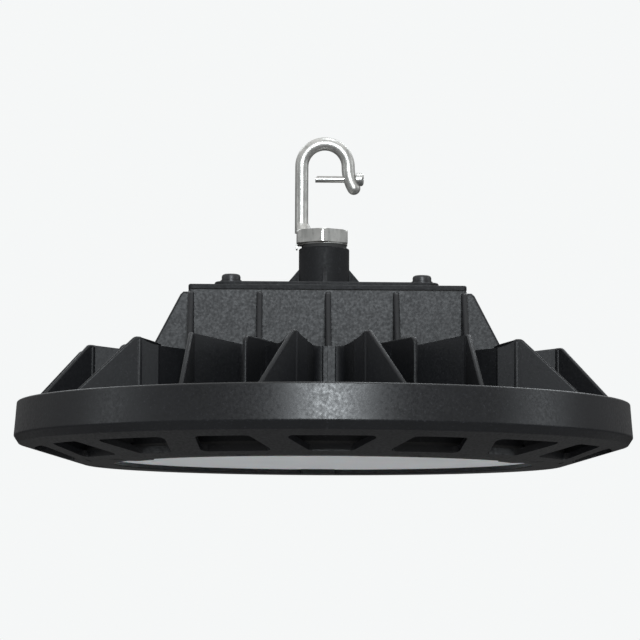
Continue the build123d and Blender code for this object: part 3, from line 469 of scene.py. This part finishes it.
class Finishes:
    """Every material of the fixture, each built once when first asked for."""

    def __init__(self) -> None:
        """Lists the finishes by the record's material slots."""
        self.recipes = {
            "black_casting": PowderCoat(),
            "black_cover": PowderCoat("cover_powder_coat", roughness=0.62, gloss=0.3),
            "black_ring": PowderCoat(
                "ring_powder_coat", roughness=0.36, gloss=0.5, grain_mm=1.5, relief_mm=0.035
            ),
            "black_rubber": Moulded("black_rubber", (0.022, 0.022, 0.022), 0.7, 0.5, 0.03),
            "black_steel": Steel("black_steel", (0.035, 0.035, 0.037), 0.35, 0.42),
            "zinc_hook": CastZinc(),
            "plated_steel": Steel("plated_steel", (0.6, 0.6, 0.58)),
            "milky_plastic": MilkyPlastic(),
            "board": Moulded("solder_mask", (0.72, 0.72, 0.7), 0.35, 0.8, 0.01),
            "pad": Moulded("thermal_pad", (0.3, 0.31, 0.33), 0.85),
            "led": Phosphor(),
            "white_plastic": Moulded("terminal_plastic", (0.6, 0.6, 0.57), 0.45),
            "black_lead": Moulded("black_insulation", (0.03, 0.03, 0.03), 0.4),
            "earth_lead": StripedInsulation(),
            "driver_case": Moulded("driver_enamel", (0.16, 0.165, 0.17), 0.45, 0.7, 0.05),
            "black_plastic": Moulded("black_polyamide", (0.028, 0.028, 0.029), 0.45, 0.5, 0.03),
        }
        self.made: dict[str, bpy.types.Material] = {}

    def __getitem__(self, slot: str) -> bpy.types.Material:
        """Material of a slot."""
        if slot not in self.made:
            self.made[slot] = self.recipes[slot].material()
        return self.made[slot]


def settle(
    piece: bpy.types.Object,
    slot: str,
    finishes: Finishes,
    nodes: Sequence[str],
    look: Optional[str] = None,
) -> bpy.types.Object:
    """Dresses a finished piece and puts it in the place of its CAD nodes.

    Args:
        piece: Object at the origin with its place in its mesh.
        slot: Material slot of the record.
        finishes: Materials of the fixture.
        nodes: CAD nodes that the piece stands for.
        look: Finish to show where it isn't the slot's own.

    Returns:
        The same piece.
    """
    piece.data.materials.clear()
    piece.data.materials.append(finishes[look or slot])
    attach(piece, "root")
    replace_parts(piece, *nodes)
    LOG.info("%s: %d faces, %s", piece.name, len(piece.data.polygons), slot)
    return piece


def linked(name: str, mesh: bpy.types.Mesh) -> bpy.types.Object:
    """New object for a mesh, in the scene at the origin."""
    piece = bpy.data.objects.new(name, mesh)
    bpy.context.scene.collection.objects.link(piece)
    return piece


def baked(piece: bpy.types.Object) -> bpy.types.Object:
    """Applies all modifiers of an object to its mesh."""
    bpy.context.view_layer.update()
    graph = bpy.context.evaluated_depsgraph_get()
    mesh = bpy.data.meshes.new_from_object(
        piece.evaluated_get(graph), preserve_all_data_layers=True, depsgraph=graph
    )
    old = piece.data
    piece.modifiers.clear()
    piece.data = mesh
    mesh.name = piece.name
    if old.users == 0:
        bpy.data.meshes.remove(old)
    return piece


def smoothed(piece: bpy.types.Object) -> bpy.types.Object:
    """Shades a piece smoothly between its sharp edges, with flat faces kept flat.

    Args:
        piece: Object with its final mesh.

    Returns:
        The same piece with its shading in its mesh.
    """
    mesh = piece.data
    mesh.polygons.foreach_set("use_smooth", [True] * len(mesh.polygons))
    mesh.set_sharp_from_angle(angle=math.radians(SMOOTH_DEGREES))
    weighted = piece.modifiers.new("even_faces", "WEIGHTED_NORMAL")
    weighted.keep_sharp = True
    weighted.weight = FACE_WEIGHT
    return baked(piece)


def merged(node: str) -> bmesh.types.BMesh:
    """Copies a CAD node's mesh and joins its triangles into flat faces.

    Args:
        node: Name of the node.

    Returns:
        The copy, with its vertices numbered.
    """
    shell = bmesh.new()
    shell.from_mesh(frame["nodes"][node].data)
    bmesh.ops.remove_doubles(shell, verts=shell.verts, dist=MERGE_MM * MM)
    bmesh.ops.dissolve_limit(
        shell,
        angle_limit=math.radians(FLAT_DEGREES),
        verts=shell.verts,
        edges=shell.edges,
        use_dissolve_boundaries=False,
    )
    shell.verts.ensure_lookup_table()
    shell.verts.index_update()
    return shell


def from_node(name: str, node: str, edge: Edge = Edge.KEPT) -> bpy.types.Object:
    """Copy of a CAD node, merged, with its sharp edges broken and its curves smooth.

    Args:
        name: Name of the new piece.
        node: CAD node to copy.
        edge: Size of the broken edges.

    Returns:
        The new piece, at the origin.
    """
    shell = merged(node)
    mesh = bpy.data.meshes.new(name)
    shell.to_mesh(mesh)
    shell.free()
    piece = linked(name, mesh)
    if edge is not Edge.KEPT:
        bevel = piece.modifiers.new("broken_edges", "BEVEL")
        bevel.width = edge.value * MM
        bevel.segments = EDGE_STEPS
        bevel.limit_method = "ANGLE"
        bevel.angle_limit = math.radians(BROKEN_DEGREES)
        bevel.use_clamp_overlap = True
        bevel.harden_normals = False
        baked(piece)
    return smoothed(piece)


@dataclass
class Castings:
    """The black castings: vent ring, heat sink, driver housing on it, and cover."""

    slot: str = "black_casting"

    def build(self, finishes: Finishes) -> None:
        """Dresses the castings.

        Args:
            finishes: Materials of the fixture.
        """
        for name, node, edge, look in (
            ("ring_casting", "vent_ring", Edge.TURNED, "black_ring"),
            ("sink_casting", "heat_sink", Edge.AS_CAST, None),
            ("housing_casting", "driver_housing", Edge.AS_CAST, None),
            ("cover_casting", "housing_cover", Edge.AS_CAST, "black_cover"),
        ):
            settle(from_node(name, node, edge), self.slot, finishes, [node], look)


@dataclass
class CopiesRoundAxis:
    """Geometry Nodes rule that repeats a piece round the fixture's axis."""

    name: str
    count: int

    def tree(self) -> bpy.types.NodeTree:
        """Builds the node tree with its named inputs.

        Returns:
            The tree: points, turned instances, realised, with the material set.
        """
        tree = bpy.data.node_groups.new(self.name, "GeometryNodeTree")
        face = tree.interface
        face.new_socket("Geometry", in_out="OUTPUT", socket_type="NodeSocketGeometry")
        face.new_socket("Piece", in_out="INPUT", socket_type="NodeSocketObject")
        face.new_socket("Count", in_out="INPUT", socket_type="NodeSocketInt")
        face.new_socket("Material", in_out="INPUT", socket_type="NodeSocketMaterial")
        given = tree.nodes.new("NodeGroupInput").outputs
        points = tree.nodes.new("GeometryNodeMeshLine")
        index = tree.nodes.new("GeometryNodeInputIndex")
        step = self.math(tree, "DIVIDE", math.tau, given["Count"])
        turn = self.math(tree, "MULTIPLY", index.outputs[0], step)
        spin = tree.nodes.new("ShaderNodeCombineXYZ")
        source = tree.nodes.new("GeometryNodeObjectInfo")
        copies = tree.nodes.new("GeometryNodeInstanceOnPoints")
        real = tree.nodes.new("GeometryNodeRealizeInstances")
        dress = tree.nodes.new("GeometryNodeSetMaterial")
        end = tree.nodes.new("NodeGroupOutput")
        points.inputs["Offset"].default_value = (0.0, 0.0, 0.0)
        link = tree.links.new
        link(given["Count"], points.inputs["Count"])
        link(turn, spin.inputs["Z"])
        link(given["Piece"], source.inputs["Object"])
        link(points.outputs["Mesh"], copies.inputs["Points"])
        link(source.outputs["Geometry"], copies.inputs["Instance"])
        link(spin.outputs["Vector"], copies.inputs["Rotation"])
        link(copies.outputs["Instances"], real.inputs["Geometry"])
        link(real.outputs["Geometry"], dress.inputs["Geometry"])
        link(given["Material"], dress.inputs["Material"])
        link(dress.outputs["Geometry"], end.inputs["Geometry"])
        return tree

    @staticmethod
    def math(
        tree: bpy.types.NodeTree, operation: str, first: object, second: object
    ) -> bpy.types.NodeSocket:
        """Adds one step of arithmetic to a tree.

        Args:
            tree: Tree that gets the node.
            operation: Blender's name of the operation.
            first: Number or socket.
            second: Number or socket.

        Returns:
            The result's socket.
        """
        node = tree.nodes.new("ShaderNodeMath")
        node.operation = operation
        for socket, value in zip(node.inputs, (first, second)):
            if isinstance(value, bpy.types.NodeSocket):
                tree.links.new(value, socket)
            else:
                socket.default_value = value
        return node.outputs[0]

    def apply(self, single: bpy.types.Object, material: bpy.types.Material) -> bpy.types.Object:
        """Runs the rule on a single piece.

        Args:
            single: Piece in its place off the axis. It is removed afterwards.
            material: Material of the copies.

        Returns:
            One object with all copies as plain mesh.
        """
        piece = linked(self.name, bpy.data.meshes.new(self.name))
        rule = piece.modifiers.new("copies", "NODES")
        tree = self.tree()
        rule.node_group = tree
        values = {"Piece": single, "Count": self.count, "Material": material}
        for item in tree.interface.items_tree:
            if item.in_out == "INPUT":
                rule[item.identifier] = values[item.name]
        baked(piece)
        bpy.data.objects.remove(single)
        return piece


def turned_part(
    name: str, profile: Sequence[tuple[float, float]], sides: int
) -> bpy.types.Object:
    """Closed solid turned from a profile round its own axis.

    Args:
        name: Name of the piece.
        profile: Radius and height in millimetres, with both ends on the axis.
        sides: Number of steps round the axis.

    Returns:
        The piece, upright at the origin.
    """
    shell = bmesh.new()
    rings = []
    for radius, height in profile:
        if radius == 0:
            rings.append([shell.verts.new((0, 0, height * MM))])
            continue
        reach = radius * MM
        turns = [math.tau * i / sides for i in range(sides)]
        spots = [(reach * math.cos(t), reach * math.sin(t), height * MM) for t in turns]
        rings.append([shell.verts.new(spot) for spot in spots])
    for low, high in zip(rings, rings[1:]):
        for i in range(sides):
            j = (i + 1) % sides
            corners = [low[i % len(low)], low[j % len(low)]]
            corners += [high[j % len(high)], high[i % len(high)]]
            unique = list(dict.fromkeys(corners))
            if len(unique) > 2:
                shell.faces.new(unique)
    bmesh.ops.recalc_face_normals(shell, faces=shell.faces)
    mesh = bpy.data.meshes.new(name)
    shell.to_mesh(mesh)
    shell.free()
    return linked(name, mesh)


def moved(piece: bpy.types.Object, where: Matrix) -> bpy.types.Object:
    """Puts a placement into the mesh of a piece."""
    piece.data.transform(where)
    return piece


@dataclass
class RingsOfPieces:
    """Equal small pieces that stand in rings round the fixture's axis."""

    name: str
    node: str
    slot: str

    def build(self, finishes: Finishes) -> None:
        """Takes one piece of each ring from its node and repeats it round the axis.

        Args:
            finishes: Materials of the fixture.
        """
        whole = bmesh.new()
        for single, count in self.singles():
            copies = CopiesRoundAxis(f"{self.name}_{count}", count)
            ring = copies.apply(single, finishes[self.slot])
            whole.from_mesh(ring.data)
            bpy.data.objects.remove(ring)
        mesh = bpy.data.meshes.new(self.name)
        whole.to_mesh(mesh)
        whole.free()
        settle(smoothed(linked(self.name, mesh)), self.slot, finishes, [self.node])

    def singles(self) -> list[tuple[bpy.types.Object, int]]:
        """Finds the rings of the node.

        Returns:
            For each ring its first piece and the number of its pieces.
        """
        shell = merged(self.node)
        rings: dict[tuple[int, int], list[set[int]]] = {}
        for island in islands(shell):
            middle = sum((shell.verts[i].co for i in island), Vector()) / len(island)
            place = (round(math.hypot(middle.x, middle.y) / MM), round(middle.z / MM))
            rings.setdefault(place, []).append(island)
        found = []
        for (radius, _), pieces in rings.items():
            single = shell.copy()
            single.verts.ensure_lookup_table()
            others = [vert for vert in single.verts if vert.index not in pieces[0]]
            bmesh.ops.delete(single, geom=others, context="VERTS")
            mesh = bpy.data.meshes.new(f"{self.name}_at_{radius}")
            single.to_mesh(mesh)
            single.free()
            found.append((linked(mesh.name, mesh), len(pieces)))
        shell.free()
        return found


def islands(shell: bmesh.types.BMesh) -> list[set[int]]:
    """Finds the separate pieces of a mesh.

    Args:
        shell: Mesh with its vertices numbered.

    Returns:
        The vertex numbers of each piece.
    """
    left = set(range(len(shell.verts)))
    found = []
    while left:
        island, edge = set(), [min(left)]
        while edge:
            number = edge.pop()
            if number in island:
                continue
            island.add(number)
            vert = shell.verts[number]
            edge.extend(link.other_vert(vert).index for link in vert.link_edges)
        left -= island
        found.append(island)
    return found


@dataclass
class CoverScrews:
    """The four socket-head screws of the cover, with their washers."""

    offset: float = 49.6
    seat: float = 93.7
    point_radius: float = 2.2
    point_length: float = 0.5
    shank_radius: float = 2.5
    head_radius: float = 4.9
    head_break: float = 0.2
    head_crown: float = 1.4
    socket_radius: float = 1.6
    socket_depth: float = 2.3
    sides: int = 36
    screws: int = 4

    def profile(self, tip: float, top: float) -> list[tuple[float, float]]:
        """Half outline of one screw.

        Args:
            tip: Height of the threaded end in millimetres.
            top: Height of the head's top in millimetres.

        Returns:
            Radius and height in millimetres, from the tip round the head into the socket.
        """
        head, socket = self.head_radius, self.socket_radius
        return [
            (0, tip),
            (self.point_radius, tip),
            (self.shank_radius, tip + self.point_length),
            (self.shank_radius, self.seat),
            (head - self.head_break, self.seat),
            (head, self.seat + self.head_break),
            (head, top - self.head_crown),
            (head - 0.4, top - 0.5),
            (head - 1.2, top - 0.1),
            (head - 2.0, top),
            (socket + 0.35, top),
            (socket + 0.1, top - self.head_break),
            (socket, top - self.socket_depth + 0.3),
            (0, top - self.socket_depth),
        ]

    def build(self, finishes: Finishes) -> None:
        """Builds one screw from its node's box and repeats it at the corners.

        Args:
            finishes: Materials of the fixture.
        """
        low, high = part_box("cover_screws")
        single = turned_part("cover_screw", self.profile(low.z / MM, high.z / MM), self.sides)
        moved(single, Matrix.Translation((self.offset * MM, self.offset * MM, 0)))
        copies = CopiesRoundAxis("cover_screw_set", self.screws)
        piece = copies.apply(single, finishes["black_steel"])
        settle(smoothed(piece), "black_steel", finishes, ["cover_screws"])
        RingsOfPieces("cover_washer_set", "cover_washers", "black_steel").build(finishes)


@dataclass
class Hook:
    """The suspension hook with its lock screw, tab washer and rubber ring."""

    def build(self, finishes: Finishes) -> None:
        """Dresses the hook and the small pieces that seat it.

        Args:
            finishes: Materials of the fixture.
        """
        for name, node, slot, edge in (
            ("hook_casting", "suspension_hook", "zinc_hook", Edge.KEPT),
            ("closing_screw", "hook_lock_screw", "plated_steel", Edge.KEPT),
            ("tab_washer", "hook_tab_washer", "zinc_hook", Edge.STAMPED),
            ("stem_ring", "hook_gasket", "black_rubber", Edge.KEPT),
        ):
            settle(from_node(name, node, edge), slot, finishes, [node])


@dataclass
class Underside:
    """The lens and the screws that clamp the vent ring."""

    def build(self, finishes: Finishes) -> None:
        """Dresses the lens, the screws under it and the light board behind it.

        Args:
            finishes: Materials of the fixture.
        """
        settle(from_node("lens_plate", "lens"), "milky_plastic", finishes, ["lens"])
        RingsOfPieces("ring_screw_set", "ring_screws", "black_steel").build(finishes)
        RingsOfPieces("led_rings", "led_packages", "led").build(finishes)


@dataclass
class CarriedNodes:
    """CAD nodes whose shape is right and that only need their finish."""

    def build(self, finishes: Finishes) -> None:
        """Gives every node that no piece has replaced its own finish.

        Args:
            finishes: Materials of the fixture.
        """
        slots = {entry["node"]: entry["material_slot"] for entry in frame["record"]["subparts"]}
        replaced = {node for piece in bpy.data.objects for node in replaced_by(piece)}
        for name, node in frame["nodes"].items():
            if name in replaced:
                continue
            node.data.materials.clear()
            node.data.materials.append(finishes[slots[name]])
            LOG.info("%s: carried over, %s", name, slots[name])


def replaced_by(piece: bpy.types.Object) -> list[str]:
    """Names of the CAD nodes that a piece stands for."""
    return list(piece.get("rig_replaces", []))


@dataclass(frozen=True)
class Softbox:
    """One rectangular lamp that faces a point on the fixture's axis."""

    name: str
    spot: tuple[float, float, float]
    aim_height: float
    size: tuple[float, float]
    watts: float
    color: Color = (0.9, 0.96, 1.0)

    def build(self) -> None:
        """Adds the lamp to the scene."""
        data = bpy.data.lights.new(self.name, "AREA")
        data.shape = "RECTANGLE"
        data.size, data.size_y = self.size
        data.energy = self.watts
        data.color = self.color
        lamp = bpy.data.objects.new(self.name, data)
        bpy.context.scene.collection.objects.link(lamp)
        lamp.location = self.spot
        aim = Vector((0.0, 0.0, self.aim_height)) - Vector(self.spot)
        lamp.rotation_euler = aim.to_track_quat("-Z", "Y").to_euler()


@dataclass
class Studio:
    """Pale surroundings, soft lamps and the camera at the photograph's angle."""

    lens_mm: float = 132.5
    sensor_mm: float = 36.0
    clip: tuple[float, float] = (0.05, 60.0)
    distance: float = 1.2645
    height: float = -0.0549
    pitch_degrees: float = 6.03
    yaw_degrees: float = 0.093
    roll_degrees: float = 0.25
    fixture_turn_degrees: float = 1.605
    floor_height: float = -1.4
    background: float = 0.93
    low_background: float = 0.05
    gloss_band: tuple[float, float] = (-0.05, 0.75)
    fill: float = 0.95
    background_tint: Color = (0.985, 1.0, 1.0)
    floor_size: float = 6.0
    floor_colors: tuple[Color, Color] = ((0.9, 0.905, 0.905), (0.93, 0.935, 0.935))
    # Floor colour for glossy rays only: painted shade in the reflections on the castings
    floor_painted_shade_in_reflections: Color = (0.12, 0.12, 0.12)
    floor_cloud_scale: float = 0.8
    floor_roughness: float = 0.8
    lamps: tuple[Softbox, ...] = (
        Softbox("front", (0.02, -1.82, 0.56), 0.02, (0.36, 0.25), 20.0),
        Softbox("top", (0.25, 0.1, 1.6), 0.05, (0.5, 0.4), 6.0),
        Softbox("left", (-1.8, -0.3, 0.5), 0.04, (0.5, 1.0), 2.0),
        Softbox("right", (1.8, -0.3, 0.5), 0.04, (0.5, 1.0), 3.0),
        Softbox("rear_left", (-0.95, 1.2, 1.4), 0.05, (0.8, 0.6), 4.5),
        Softbox("rear_right", (0.95, 1.2, 1.4), 0.05, (0.8, 0.6), 7.0),
    )

    def build(self) -> None:
        """Sets up the world, floor, lamps and camera."""
        scene = bpy.context.scene
        scene.view_settings.view_transform = "Standard"
        self.world(scene)
        self.floor()
        for lamp in self.lamps:
            lamp.build()
        self.camera(scene)

    def world(self, scene: bpy.types.Scene) -> None:
        """Pale surroundings, nearly white to the camera and darker towards the ground in gloss."""
        room = bpy.data.worlds.new("pale_room")
        scene.world = room
        graph = Graph(room)
        camera = graph.add("ShaderNodeLightPath", output="Is Camera Ray")
        glossy = graph.add("ShaderNodeLightPath", output="Is Glossy Ray")
        glass = graph.add("ShaderNodeLightPath", output="Is Transmission Ray")
        way = graph.add("ShaderNodeTexCoord", output="Generated")
        height = graph.add("ShaderNodeSeparateXYZ", {"Vector": way}, output="Z")
        rise = self.background - self.low_background
        fall = height.clamped(*self.gloss_band) * rise + self.low_background
        soft = graph.add("ShaderNodeBackground", {"Strength": self.fill})
        mirrored = graph.add("ShaderNodeBackground", {"Strength": fall})
        seen = {"Color": opaque(self.background_tint), "Strength": self.background}
        pale = graph.add("ShaderNodeBackground", seen)
        bounced = graph.add("ShaderNodeMixShader", {0: glossy + glass, 1: soft, 2: mirrored})
        room_light = graph.add("ShaderNodeMixShader", {0: camera, 1: bounced, 2: pale})
        graph.add("ShaderNodeOutputWorld", {"Surface": room_light})

    def floor(self) -> None:
        """Large pale floor well below the hanging fixture, painted near black where reflections
        see it, which paints shade into the fixture's reflections.
        """
        size = self.floor_size
        corners = [(-size, -size), (size, -size), (size, size), (-size, size)]
        mesh = bpy.data.meshes.new("floor")
        mesh.from_pydata([(x, y, self.floor_height) for x, y in corners], [], [(0, 1, 2, 3)])
        floor = linked("floor", mesh)
        graph = Graph.of_material("floor_paint")
        cloud = graph.noise(self.floor_cloud_scale)
        pale = graph.mix(cloud, *self.floor_colors)
        # Painted shade: glossy rays see the floor near black, which darkens the castings'
        # reflections while the camera still sees it pale
        glossy = graph.add("ShaderNodeLightPath", output="Is Glossy Ray")
        color = graph.mix(glossy, pale, self.floor_painted_shade_in_reflections)
        paint = graph.finish(Base_Color=color, Roughness=self.floor_roughness)
        floor.data.materials.append(paint)

    def camera(self, scene: bpy.types.Scene) -> None:
        """Camera a little below the fixture, looking slightly up, as in the photograph."""
        data = bpy.data.cameras.new("camera")
        data.lens = self.lens_mm
        data.sensor_width = self.sensor_mm
        data.clip_start, data.clip_end = self.clip
        camera = bpy.data.objects.new("camera", data)
        scene.collection.objects.link(camera)
        turn = math.radians(-self.fixture_turn_degrees)
        pitch = math.radians(self.pitch_degrees)
        ahead = Vector((0.0, math.cos(pitch), math.sin(pitch)))
        look = Matrix.Rotation(turn + math.radians(self.yaw_degrees), 3, "Z") @ ahead
        side, back = math.sin(turn) * self.distance, math.cos(turn) * self.distance
        camera.location = (side, -back, self.height)
        roll = Matrix.Rotation(math.radians(self.roll_degrees), 3, "Z")
        camera.rotation_euler = (look.to_track_quat("-Z", "Y").to_matrix() @ roll).to_euler()
        scene.camera = camera


def main() -> None:
    """Builds every sub-assembly in order."""
    logging.basicConfig(level=logging.INFO, format="%(message)s")
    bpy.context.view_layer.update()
    finishes = Finishes()
    for assembly in (Castings(), CoverScrews(), Hook(), Underside(), CarriedNodes()):
        assembly.build(finishes)
    Studio().build()


if __name__ == "__main__":
    main()
